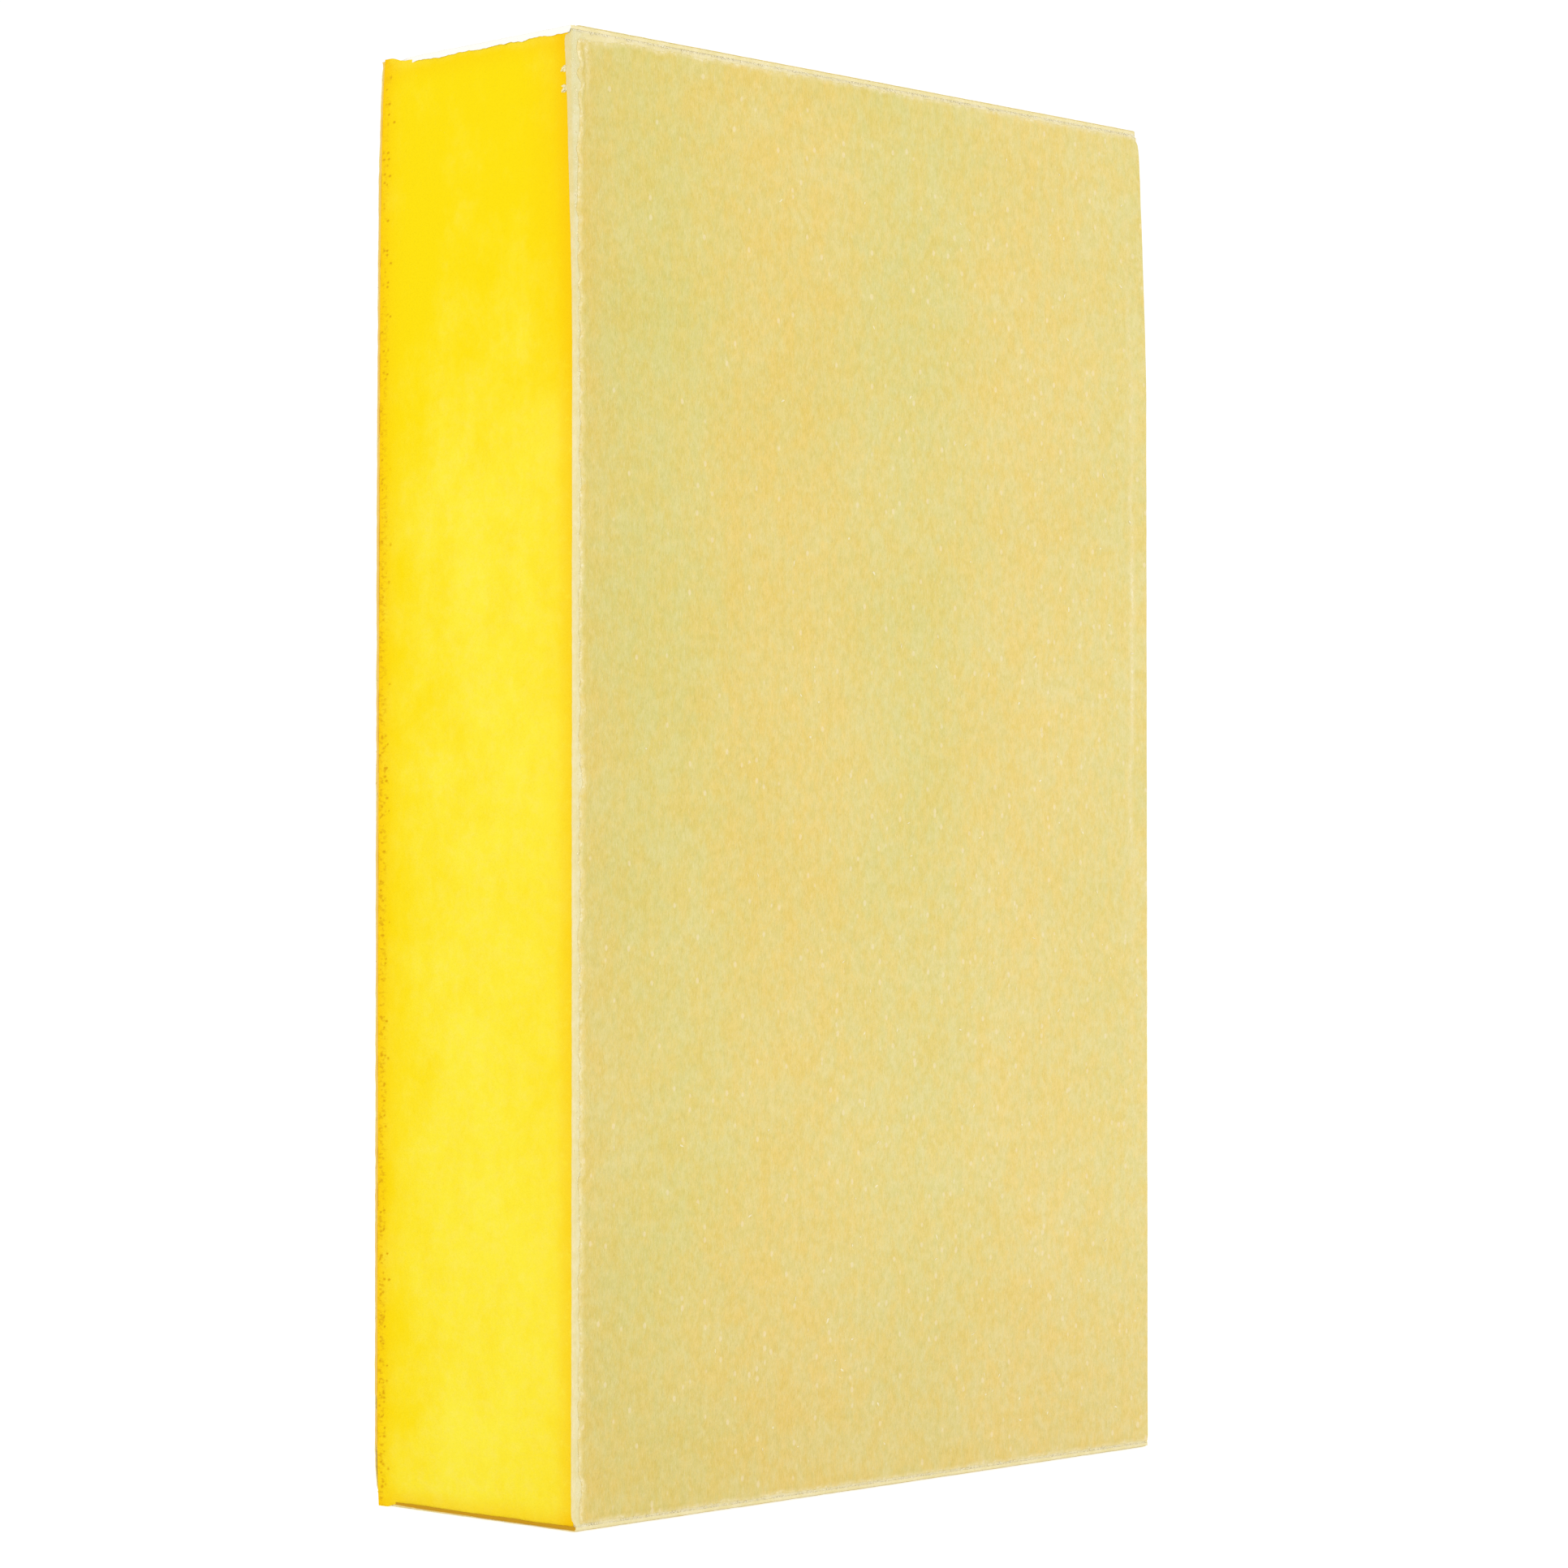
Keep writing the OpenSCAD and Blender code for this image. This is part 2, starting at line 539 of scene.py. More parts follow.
def grit_material():
    """Fine cream abrasive: resin-bound grains, drawn out along the sheet, with pale flakes and
    worn lines, and slow bands of greener and warmer coating."""
    material, tree, shader = new_material("cream_abrasive_grit")
    place = on_sheet(tree)
    drawn = on_sheet(tree, (1, 5, 1))
    oval = on_sheet(tree, (1, 1.7, 1))
    colour = mixed(tree, step_up(tree, stored(tree, "tint"), -1, 1), GRIT_GREEN, GRIT_WARM)
    # Paler: real bleaching and flakes, and to the right partly a painted light gradient
    colour = mixed(tree, stored(tree, "bleach"), colour, GRIT_BLEACHED_AND_LIT)
    # Painted shade: the coating darker towards its left edge and its bottom
    colour = mixed(tree, stored(tree, "grime"), colour, PAINTED_SHADE_TINT, "MULTIPLY")
    hue = step_up(tree, speckle(tree, oval, 2.2, 4.0, 0.75), 0.36, 0.64)
    colour = mixed(tree, hue, colour, PATCH_WARM, "MULTIPLY")
    colour = mixed(tree, calc(tree, "SUBTRACT", 1.0, hue), colour, PATCH_COOL, "MULTIPLY")
    cloud = step_up(tree, speckle(tree, on_sheet(tree, (1, 1.5, 3)), 0.75, 4.0, 0.7), 0.34, 0.66)
    colour = mixed(tree, cloud, colour, CLOUDED, "MULTIPLY")
    streak = speckle(tree, drawn, 0.13, 2.0, 0.55)
    colour = mixed(tree, times(tree, step_up(tree, streak, 0.5, 0.8), 0.4), colour, CRUSHED)
    dull = times(tree, step_up(tree, streak, 0.5, 0.2), 0.25)
    colour = mixed(tree, dull, colour, GRIT_STREAKED, "MULTIPLY")
    away = cells(tree, oval, 0.17)
    shade = node(tree, "SeparateColor", {0: cells(tree, oval, 0.17, 1)})
    shaded = times(tree, step_up(tree, shade, 0.6, 1.0), 0.2)
    colour = mixed(tree, shaded, colour, GRAIN_SHADED, "MULTIPLY")
    flaked = times(tree, stored(tree, "bleach"), 0.6)
    small = flecks(tree, on_sheet(tree, (1.5, 2.0, 1)), 0.62, 0.14, flaked)
    colour = mixed(tree, times(tree, small, 0.38), colour, SMALL_FLAKE)
    wear = stored(tree, "wear")
    patchy = speckle(tree, place, 0.4, 3.0, 0.7)
    colour = mixed(tree, times(tree, wear, step_up(tree, patchy, 0.2, 0.6)), colour, CRUSHED)
    torn_off = times(tree, step_up(tree, wear, 0.3, 0.9), step_up(tree, patchy, 0.5, 0.65))
    colour = mixed(tree, torn_off, colour, FLAKE)
    dark = flecks(tree, place, 16.0, 0.10, 0.22)
    colour = mixed(tree, dark, colour, DARK_SPECK)
    height = scaled(tree, away, -1.2, streak)
    normal = bumped(tree, height, 0.03)
    roughness = scaled(tree, streak, 0.25, 0.62)
    connect(tree, shader, colour, roughness, normal, 0.25)
    return material


PAPER_CREAM = (0.665, 0.578, 0.290)
PAPER_PALE = (0.705, 0.625, 0.370)
PAPER_STAINED = (0.610, 0.510, 0.215)
PAPER_CLEAN = (0.74, 0.715, 0.66)
PAPER_ORANGE = (0.63, 0.42, 0.09)
PAPER_BROWN = (0.43, 0.22, 0.002)
# Painted shade, multiplied into the paper along the front sheet's -X edge
PAPER_EDGE_SHADE = (0.90, 0.95, 1.0)


def paper_material():
    """The cream paper backing: short fibres, clean and pale on some cut edges, glue-soaked on others.
    The orange and brown of the -X cut edges on the front, back and bottom sheets is painted shade,
    with real glue colour on the bottom sheet; the top sheet's white -X cut edge is partly a painted
    highlight; and the paper along the front sheet's -X edge is greyed as painted shade.
    """
    material, tree, shader = new_material("cream_backing_paper")
    place = millimetres(tree)
    fibre = speckle(tree, millimetres(tree, (1, 1, 4)), 0.09, 3.0, 0.6)
    blotch = speckle(tree, place, 0.9, 3.0, 0.6)
    cut = stored(tree, "cut")
    colour = mixed(tree, step_up(tree, blotch, 0.35, 0.7), PAPER_CREAM, PAPER_PALE)
    stain = times(tree, step_up(tree, fibre, 0.52, 0.3), 0.4)
    colour = mixed(tree, stain, colour, PAPER_STAINED)
    # Clean white, and on the top sheet's -X cut edge partly a painted highlight
    colour = mixed(tree, step_up(tree, cut, 0.0, 1.0), colour, PAPER_CLEAN)
    # Painted shade: orange and brown on the -X cut edges of the front, back and bottom sheets, with real
    # glue colour on the bottom sheet
    colour = mixed(tree, step_up(tree, cut, 0.0, -0.5), colour, PAPER_ORANGE)
    colour = mixed(tree, step_up(tree, cut, -0.5, -0.9), colour, PAPER_BROWN)
    # Painted shade: the paper greyed along the front sheet's -X edge
    colour = mixed(tree, stored(tree, "dulled"), colour, PAPER_EDGE_SHADE, "MULTIPLY")
    normal = bumped(tree, fibre, 0.03)
    roughness = scaled(tree, fibre, 0.2, 0.75)
    connect(tree, shader, colour, roughness, normal, 0.2)
    return material


GLUE_AMBER = (0.50, 0.245, 0.008)
GLUE_THIN = (0.66, 0.40, 0.07)


def glue_material():
    """Dried contact glue: amber, uneven and slightly glossy."""
    material, tree, shader = new_material("amber_contact_glue")
    place = millimetres(tree)
    pool = speckle(tree, place, 1.6, 3.0, 0.6)
    colour = mixed(tree, step_up(tree, pool, 0.35, 0.7), GLUE_AMBER, GLUE_THIN)
    normal = bumped(tree, speckle(tree, place, 0.5, 3.0), 0.05)
    roughness = scaled(tree, pool, 0.4, 0.2)
    connect(tree, shader, colour, roughness, normal, 0.5)
    return material


FOAM_YELLOW = (0.702, 0.536, 0.002)
FOAM_PALE = (0.710, 0.610, 0.036)
FOAM_BLUER = (0.0, 0.0, 0.024)
FOAM_ORANGE = (0.70, 0.425, 0.002)
FOAM_PORE = (0.56, 0.305, 0.003)
FOAM_DUSTY = (0.97, 0.90, 0.55)


def foam_material():
    """Dense yellow foam, cut smooth: soft pale smudges, orange near its edges, fine pores and, by its
    back edge, short nicks from the blade. The orange is the foam's own skin by its back edge, and
    painted shade along its seams with the sheets."""
    material, tree, shader = new_material("yellow_dense_foam")
    place = millimetres(tree)
    mottle = speckle(tree, place, 0.8, 4.0, 0.6)
    smudge = speckle(tree, millimetres(tree, (1, 1, 1.3)), 5.0, 6.0, 0.72)
    smudged = calc(tree, "ADD", stored(tree, "pale"), times(tree, smudge, 2.0))
    colour = mixed(tree, step_up(tree, smudged, 1.0, 2.5), FOAM_YELLOW, FOAM_PALE)
    film = speckle(tree, millimetres(tree, (1, 1.3, 1)), 1.3, 5.0, 0.8)
    filmed = times(tree, step_up(tree, film, 0.40, 0.68), step_up(tree, smudged, 1.1, 2.1))
    rim = times(tree, stored(tree, "rim"), step_up(tree, mottle, 0.0, 0.5))
    filmed = times(tree, filmed, calc(tree, "SUBTRACT", 1.0, rim))
    colour = mixed(tree, filmed, colour, FOAM_BLUER, "ADD")
    # Orange: the foam's own skin by its back edge, and painted shade along its seams with the sheets
    colour = mixed(tree, rim, colour, FOAM_ORANGE)
    cell = cells(tree, place, 0.21)
    dust = speckle(tree, place, 0.22, 2.0)
    dusty = times(tree, step_up(tree, dust, 0.56, 0.75), 0.25)
    colour = mixed(tree, dusty, colour, FOAM_DUSTY, "MULTIPLY")
    nick = speckle(tree, millimetres(tree, (1, 2.2, 1)), 0.27, 3.0, 0.6)
    nicked = times(tree, stored(tree, "nicked"), step_up(tree, nick, 0.48, 0.70))
    pit = calc(tree, "MAXIMUM", nicked, step_up(tree, stored(tree, "pore"), 0.15, 0.75))
    colour = mixed(tree, pit, colour, FOAM_PORE)
    height = scaled(tree, cell, -0.8, dust)
    normal = bumped(tree, calc(tree, "SUBTRACT", height, times(tree, nicked, 0.6)), 0.03)
    roughness = scaled(tree, dust, 0.25, 0.7)
    connect(tree, shader, colour, roughness, normal, 0.04)
    return material


def crumb_material():
    """Broken grit and resin: pale, with each crumb a little different."""
    material, tree, shader = new_material("pale_grit_crumbs")
    place = millimetres(tree)
    colour = mixed(tree, step_up(tree, speckle(tree, place, 0.35, 3.0, 0.7), 0.35, 0.65), CRUSHED, FLAKE)
    normal = bumped(tree, speckle(tree, place, 0.05, 2.0), 0.02)
    roughness = scaled(tree, speckle(tree, place, 0.2), 0.3, 0.6)
    connect(tree, shader, colour, roughness, normal, 0.3)
    return material


# ---- Grit coats ----

# The mesh's steps: in the fine border, and across and along the rest of a large face or an end
FINE_BORDER, FINE_STEP = 2.2, 0.11
COAT_STEPS = (0.36, 0.33)
END_COAT_STEPS = (0.27, 0.25)

SIDES_APART = 40

# Grit lost from the front sheet's top and -X edges near their corner, each as (strength, reach)
TOP_LOSS = (0.25, 22)
LEFT_LOSS = (0.5, 16)

# Small jags and longer bites in the coat's border, as shares of how far it stands back
JAG, JAG_LENGTH = 0.5, 0.8
BITE, BITE_LENGTH = 0.6, 3.5

# How far in from its border the coat is shaped, thinned and broken, and how much bare edge it
# takes for the full effect
SHAPED_REACH = 1.5
THINNED_REACH, THINNED_BARE = 0.5, 0.3
BROKEN_REACH, BROKEN_PER_CHIP, BROKEN_BARE = 0.15, 0.9, 0.2

# The relief of the grains, and of slower waves, out of the face
GRAIN_RELIEF = 0.014
WAVE_RELIEF = 0.010
EMBEDDED = 0.04
GRIT_SUNK = 0.025
GRIT_LEFT_AT_EDGE = 0.065

# Lines where the coat is crushed, by each long edge: how far in, how wide and how deep, and where
# along the sheet they show
CRUSH_LINES = (2.0, 2.3)
CRUSH_WIDTH = 0.34
CRUSH_DEPTH = 0.02
CRUSH_LEFT_REACH = 9
CRUSH_RIGHT_MIDDLE, CRUSH_RIGHT_REACH = 18, 52

# Bands of greener and warmer coating: how wide, and where the first starts
COATING_BAND = 33.5
COATING_BAND_START = 9

# What makes the coating warmer (over 0) or greener (under 0). A pair is (strength, reach)
TINT_BAND = -0.75
TINT_PATCH = 0.7
TINT_RIGHT = (0.8, 2.0)
TINT_LOW = (-0.6, 32)

# What bleaches the coating, partly as a painted light gradient to the right, and where painted
# shade darkens it, with (strength, reach) from each edge
LIGHT_AND_BLEACH_RIGHT, BLEACH_LOW, BLEACH_PATCH = 0.55, 0.35, 0.2
SHADE_LEFT = (0.36, 17)
SHADE_LOW = (0.95, 30)
SHADE_CORNER, CORNER_HEIGHT = (0.33, 6), 40


def face_noise(local, face, size, seed):
    """Noise over a face, different on each."""
    return rough(local[:, :2], size, face_seed(face, seed))


def by_side(local, axis, values):
    """The value for each point's side of the face along an axis, from four given as Face.bare is."""
    return np.where(local[:, axis] < 0, values[2 * axis], values[2 * axis + 1])


def border_chips(local, face, axis):
    """How far the grit stands back from the edges that cross this axis, chip by chip. The front
    sheet has lost more of it by its top -X corner."""
    where = np.stack([local[:, 1 - axis], np.sign(local[:, axis]) * SIDES_APART], 1)
    bare = by_side(local, axis, face.bare)
    left, _, _, top = edge_gaps(face, local)
    if face.name == "front" and axis == 1:
        bare = bare + (local[:, 1] > 0) * fading(TOP_LOSS, left)
    if face.name == "front" and axis == 0:
        bare = bare + (local[:, 0] < 0) * fading(LEFT_LOSS, top)
    jag = rough(where, (JAG_LENGTH, 1), face_seed(face, 40) + axis)
    bite = np.clip(noise(where, (BITE_LENGTH, 1), face_seed(face, 50) + axis), 0, 1)
    return bare * (1 + JAG * jag + BITE * bite**2)


def grit_relief(face, local):
    """The grit's outer side moved in and out, with how worn it is at each point."""
    from_edge = nearest_edges(face, local)
    from_border = from_edge - MARGIN
    chipped = local.copy()
    thinned = np.zeros(len(local))
    broken = np.zeros(len(local))
    for axis in (0, 1):
        chips = border_chips(local, face, axis)
        bare = by_side(local, axis, face.bare)
        gap = from_border[:, axis]
        chipped[:, axis] -= np.sign(local[:, axis]) * (chips - MARGIN) * near(gap, SHAPED_REACH)
        thinned_here = np.clip(bare / THINNED_BARE, 0, 1) * near(gap, THINNED_REACH)
        thinned = np.maximum(thinned, thinned_here)
        reach = BROKEN_REACH + BROKEN_PER_CHIP * chips
        broken = np.maximum(broken, np.clip(bare / BROKEN_BARE, 0, 1) * near(gap, reach))
    along = local[:, [1]]
    wobble = 0.25 * noise(along, 9.0, 60 + face.number) + 0.10 * noise(along, 2.0, 61)
    crush_line = by_side(local, 0, CRUSH_LINES)
    crush = np.exp(-(((from_edge[:, 0] - crush_line - wobble) / CRUSH_WIDTH) ** 2))
    shown_left = near(edge_gaps(face, local)[3], CRUSH_LEFT_REACH)
    shown_right = near(np.abs(local[:, 1] - CRUSH_RIGHT_MIDDLE), CRUSH_RIGHT_REACH)
    shown = np.where(local[:, 0] > 0, shown_right, shown_left)
    crush = crush * shown * np.clip(0.65 + 0.5 * face_noise(local, face, (0.8, 3.0), 5), 0.1, 0.8)
    grain = GRAIN_RELIEF * face_noise(local, face, (0.55, 1.6), 1)
    grain = grain + WAVE_RELIEF * face_noise(local, face, 4.0, 2)
    lost = (GRIT - GRIT_LEFT_AT_EDGE) * thinned + CRUSH_DEPTH * crush
    chipped[:, 2] += grain * (1 - thinned) - GRIT_SUNK - lost
    broken = broken * (0.65 + 0.5 * face_noise(local, face, 0.45, 3))
    wear = np.clip(np.maximum(crush, 0.9 * broken), 0, 1)
    return chipped, wear


def coating_tint(face, local):
    """-1 where the coating is greener, 1 where it is warmer, in slow bands along the sheet."""
    left, right, bottom, _ = edge_gaps(face, local)
    phase = (left - COATING_BAND_START) / COATING_BAND
    tint = TINT_BAND * np.cos(2 * math.pi * phase) + TINT_PATCH * face_noise(local, face, 11.0, 11)
    tint = tint + fading(TINT_RIGHT, right) + fading(TINT_LOW, bottom) * (0.5 + local[:, 0] / WIDTH)
    return np.clip(tint, -1, 1)


def coating_bleach(face, local):
    """0 to 1: how much paler and flakier the coating is, more to the right and to the bottom. The
    paling to the right is partly a painted light gradient.
    """
    right = local[:, 0] / WIDTH + 0.5
    low = 0.5 - local[:, 1] / face.sheet_length
    bleach = LIGHT_AND_BLEACH_RIGHT * right + BLEACH_LOW * low**2
    return np.clip(bleach + BLEACH_PATCH * face_noise(local, face, 8.0, 13), 0, 1)


def coating_grime(face, local):
    """0 to 1: how much painted shade darkens the coating, at the left, more so near the top, and at the
    bottom.
    """
    left, _, bottom, top = edge_gaps(face, local)
    corner = fading(SHADE_CORNER, left) * near(top, CORNER_HEIGHT)
    return np.clip(fading(SHADE_LEFT, left) + fading(SHADE_LOW, bottom) + corner, 0, 1)


def face_place(face, local):
    """Pattern coordinates that differ from face to face."""
    return local + [0, 300 * face.number, 0]


def coat_lines(length, step):
    """Grid lines over the coat of a sheet of that length, finer by its borders."""
    half = length / 2 - MARGIN
    border = (FINE_BORDER, FINE_STEP)
    return spaced(-half, border, (2 * half - 2 * FINE_BORDER, step), border)


def grit_coat(face, material):
    """The abrasive coat of a sheet, a thin closed slab with its relief on the outer side."""
    across_step, along_step = COAT_STEPS if is_large(face) else END_COAT_STEPS
    across = coat_lines(WIDTH, across_step)
    along = coat_lines(face.sheet_length, along_step)
    local, faces = grid_box(across, along, [(GRIT, 0)])
    outer = len(across) * len(along)
    shaped, wear = grit_relief(face, local)
    shaped[outer:, 2] = -GRIT - EMBEDDED
    points = laid(face, shaped)
    piece = add_piece(
        face.name + "_grit_coat_look", points, faces, material,
        place=face_place(face, local), wear=wear,
        tint=coating_tint(face, local), bleach=coating_bleach(face, local),
        grime=coating_grime(face, local),
    )
    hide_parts(face.name + "_grit_coat")


# ---- Paper backings and glue films ----

PAPER_PROFILE = [
    (3.0, 0), (1.6, 0), (0.9, 0), (0.45, 0), (0.18, 0), (0.07, 0.02), (0.015, 0.07), (0, 0.14),
    (0, 0.22), (0, 0.3), (0.6, 0.3), (1.8, 0.3),
]
BURR_RING = 9
PAPER_CORNER = 0.15
PAPER_STEP = 0.13
FUR = 0.03
WANDER_MEAN, WANDER_LEAST = 0.035, 0.005
EDGE_MARK_REACH = 0.6
# Painted shade added near the top of the front sheet's -X cut edge
MORE_SHADE_NEAR_TOP = 0.12
# Reaches of the painted shade by the front sheet's -X edge: from that edge and from the top
LEFT_AND_TOP_REACH = (3, 40)

# How a large face's sheet runs on under the end sheets, and lifts as it does
BUTT_OVERLAP = 0.3
BUTT_LIFT = 0.09

# How deep in the paper the glue has soaked, and how much that changes along the sheet
SOAKED_FROM = 0.15
SOAKED_SLOPE = 0.14
SOAKED_FADE = 0.06

# The strip that the back sheet has lost at the foot of its -X edge: how long and how wide
LOST_STRIP = 4.8
LOST_WIDTH = 0.10


def hidden_ends(face, points):
    """True where a sheet's cut edge butts against an end sheet, and False all round on an end sheet."""
    return is_large(face) & (np.abs(points[:, 1]) > face.sheet_length / 2 - PAPER_CORNER / 2)


def cut_look(face, local):
    """How the sheet's nearest edge looks at each point, fading out away from its edges. Glue has
    soaked in from the inner side, so a soaked edge stays pale at its outer side."""
    from_edge = nearest_edges(face, local)
    look = np.zeros(len(local))
    for axis in (0, 1):
        mine = from_edge[:, axis] <= from_edge[:, 1 - axis]
        look = np.where(mine, by_side(local, axis, face.cuts), look)
    if face.name == "front":
        # The front sheet's painted shade on its -X cut edge deepens towards the top
        look = look - MORE_SHADE_NEAR_TOP * (look < 0) * near(edge_gaps(face, local)[3], LEFT_AND_TOP_REACH[1])
    soaked_from = SOAKED_FROM + SOAKED_SLOPE * local[:, 1] / face.sheet_length
    soaked_from = soaked_from + 0.07 * rough(local[:, [1]], 2.2, 90 + face.number)
    soaking = 1 - near(-local[:, 2] - soaked_from, SOAKED_FADE)
    look = np.where(look < -0.6, look * soaking, look)
    return look * near(from_edge.min(1), EDGE_MARK_REACH)


def front_edge_shading(face, local):
    """0 to 1: how much painted shade greys the paper along the front sheet's -X edge, more near the top.
    """
    if face.name != "front":
        return np.zeros(len(local))
    left, _, _, top = edge_gaps(face, local)
    return (0.5 + 0.5 * near(top, LEFT_AND_TOP_REACH[1])) * near(left, LEFT_AND_TOP_REACH[0])


def edge_wander(face, points):
    """How far a sheet's cut edge strays inwards at each point of its outline."""
    seed = face_seed(face, 70)
    wander = WANDER_MEAN + 0.03 * rough(points, 0.8, seed) + 0.02 * noise(points, 5.0, seed + 4)
    if face.name == "back":
        snagged = points[:, 0] > WIDTH / 2 - 0.2
        bottom = edge_gaps(face, points)[2]
        nibbles = np.clip(noise(points, 1.6, 78), 0, 1)
        snag = 0.05 * rough(points, 0.7, 77) + (0.10 + 0.22 * near(bottom, 26)) * nibbles
        lost = LOST_WIDTH * (bottom < LOST_STRIP)
        wander = wander + snagged * (snag + lost)
    return np.where(hidden_ends(face, points), 0, np.maximum(wander, WANDER_LEAST))


def at_edge(face, points, values):
    """The value for the edge that each outline point is on, or 0 at a corner."""
    from_edges = nearest_edges(face, points)
    found = np.zeros(len(points))
    for axis in (0, 1):
        found = np.where(from_edges[:, axis] < 0.02, by_side(points, axis, values), found)
    return found


def edge_burr(face, points):
    """How far the paper's cut edge is dragged over the foam at each point of its outline."""
    burr = at_edge(face, points, face.burrs)
    if face.name == "front":
        burr = burr + 0.2 * (burr > 0) * near(edge_gaps(face, points)[3], 8)
    if face.name == "bottom":
        burr = burr + (burr > 0) * 0.07 * rough(points, 2.6, 97)
    return burr * (1 + 0.6 * rough(points, 0.9, 95 + face.number))


def paper_backing(face, material):
    """The paper of a sheet, with its cut edge left a little ragged and furred."""
    points, inwards = outline(WIDTH, face.sheet_length, PAPER_CORNER, PAPER_STEP)
    count = len(points)
    profile = [(inset, GRIT + depth * PAPER / 0.3) for inset, depth in PAPER_PROFILE]
    roundness = np.clip(at_edge(face, points, face.bare) / 0.3, 0, 1)
    local, faces = rim_solid(points, inwards, profile, edge_wander(face, points), roundness)
    look = cut_look(face, local)
    from_edges = nearest_edges(face, local)
    fur = FUR * np.tile(roundness, len(profile)) * rough(local, 0.35, face_seed(face, 76))
    fur = fur * near(from_edges.min(1), 0.9)
    if is_large(face):
        fur = fur + BUTT_LIFT * near(from_edges[:, 1], 0.6)
        local[:, 1] += np.sign(local[:, 1]) * BUTT_OVERLAP * near(from_edges[:, 1], 1.0)
    outer = local[:, 2] > -GRIT - PAPER / 2
    local[:, 2] += np.where(outer, fur, 0)
    local[BURR_RING * count:(BURR_RING + 1) * count, 2] -= edge_burr(face, points)
    piece = add_piece(
        face.name + "_paper_backing_look", laid(face, local), faces, material,
        cut=look, dulled=front_edge_shading(face, local),
    )
    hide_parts(face.name + "_paper_backing")


GLUE_PROFILE = [
    (3.0, 0), (1.0, 0), (0.3, 0), (0.06, 0.04), (0, 0.075), (0.06, 0.11), (0.3, 0.15), (2.0, 0.15),
]
GLUE_CORNER = 0.8
GLUE_STEP = 0.35
GLUE_WANDER = 0.12


def glue_film(face, material):
    """The glue under a sheet, in a film whose edge has squeezed out unevenly."""
    length = node_size(face.name + "_glue_film") @ np.abs(face.along)
    points, inwards = outline(2 * GLUE_HALF, length, GLUE_CORNER, GLUE_STEP)
    wander = GLUE_WANDER * (1 + rough(points, 1.8, face_seed(face, 80)))
    profile = [(inset, SHEET + depth * GLUE / 0.15) for inset, depth in GLUE_PROFILE]
    local, faces = rim_solid(points, inwards, profile, wander)
    piece = add_piece(face.name + "_glue_film_look", laid(face, local), faces, material)
    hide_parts(face.name + "_glue_film")


# ---- Foam core ----

FOAM_ROUND = 0.05
BACK_BAND = 1.7
EAR = 2.4
LIP_OVERLAP = 0.04
LIP_REACH = 0.45
FOAM_SPREAD = 0.17
PORES_PER_SIDE = 230
PORE_RADIUS = 0.12
PORE_DEPTH = 0.08
PORE_ROWS = (0.35, 0.75, 1.2)
PORE_ROW_SHARES = (0.5, 0.38, 0.12)
PORE_STRAY = 0.09

# Where the foam is orange: how fast its own orange skin fades from the back edge, and (strength,
# reach) of the rest, which is painted shade along the seams with the sheets
RIM_BACK_FADE = 1.0
RIM_BACK_LOSS = (0.35, 14)
SEAM_SHADE_FRONT, SEAM_SHADE_FRONT_WIDE = (0.5, 2.2), (0.4, 7)
SEAM_SHADE_TOP, UPPER_HALF = (0.35, 2.5), (0.65, 60)
SEAM_SHADE_BOTTOM = (0.45, 1.6)

# The foam mesh's bands by the back and front edges, each with its step, and the rings round its walls
FOAM_BACK_STEP = 0.105
FOAM_STEP = 0.65
FRONT_BAND, FOAM_FRONT_STEP = 2, 0.25
FOAM_LONG_STEP = 0.185
WALL_RINGS = (0.3, 0.6, 1.0, 1.6, 2.4)


def foam_pores(random):
    """Pore centres (y, z) and radii on one cut side, in rows by the back edge."""
    row = random.choice(PORE_ROWS, PORES_PER_SIDE, p=PORE_ROW_SHARES)
    y = FOAM_THICKNESS / 2 - row + random.normal(0, PORE_STRAY, PORES_PER_SIDE)
    z = random.uniform(BUILD_UP + 1, LENGTH - BUILD_UP - 1, PORES_PER_SIDE)
    return np.stack([y, z], 1), PORE_RADIUS * random.uniform(0.55, 1.15, PORES_PER_SIDE)


def foam_lips(points):
    """The foam spreads to the paper beyond the glue's edge, and fills the corners that the end
    sheets have lost on the -X side."""
    x, y, z = points.T
    beyond_glue = 1 - near(np.abs(x) - GLUE_HALF, LIP_REACH)
    from_top, from_bottom = LENGTH - BUILD_UP - z, z - BUILD_UP
    from_back, from_front = FOAM_THICKNESS / 2 - y, y + FOAM_THICKNESS / 2
    lip = (GLUE + LIP_OVERLAP) * beyond_glue
    from_left = np.maximum(x + FOAM_WIDTH / 2, 0)
    ear = SHEET * near(from_left + np.maximum(from_back, 0) - 0.5, EAR - 0.5)
    z = z + (lip + ear) * near(from_top, 1.5) - (lip + ear) * near(from_bottom, 1.5)
    z = z - 0.03 * near(from_left, 1.0) * near(from_bottom, 1.5)
    y = y + lip * near(from_back, 1.5) - lip * near(from_front, 1.5)
    return np.stack([x, y, z], 1)


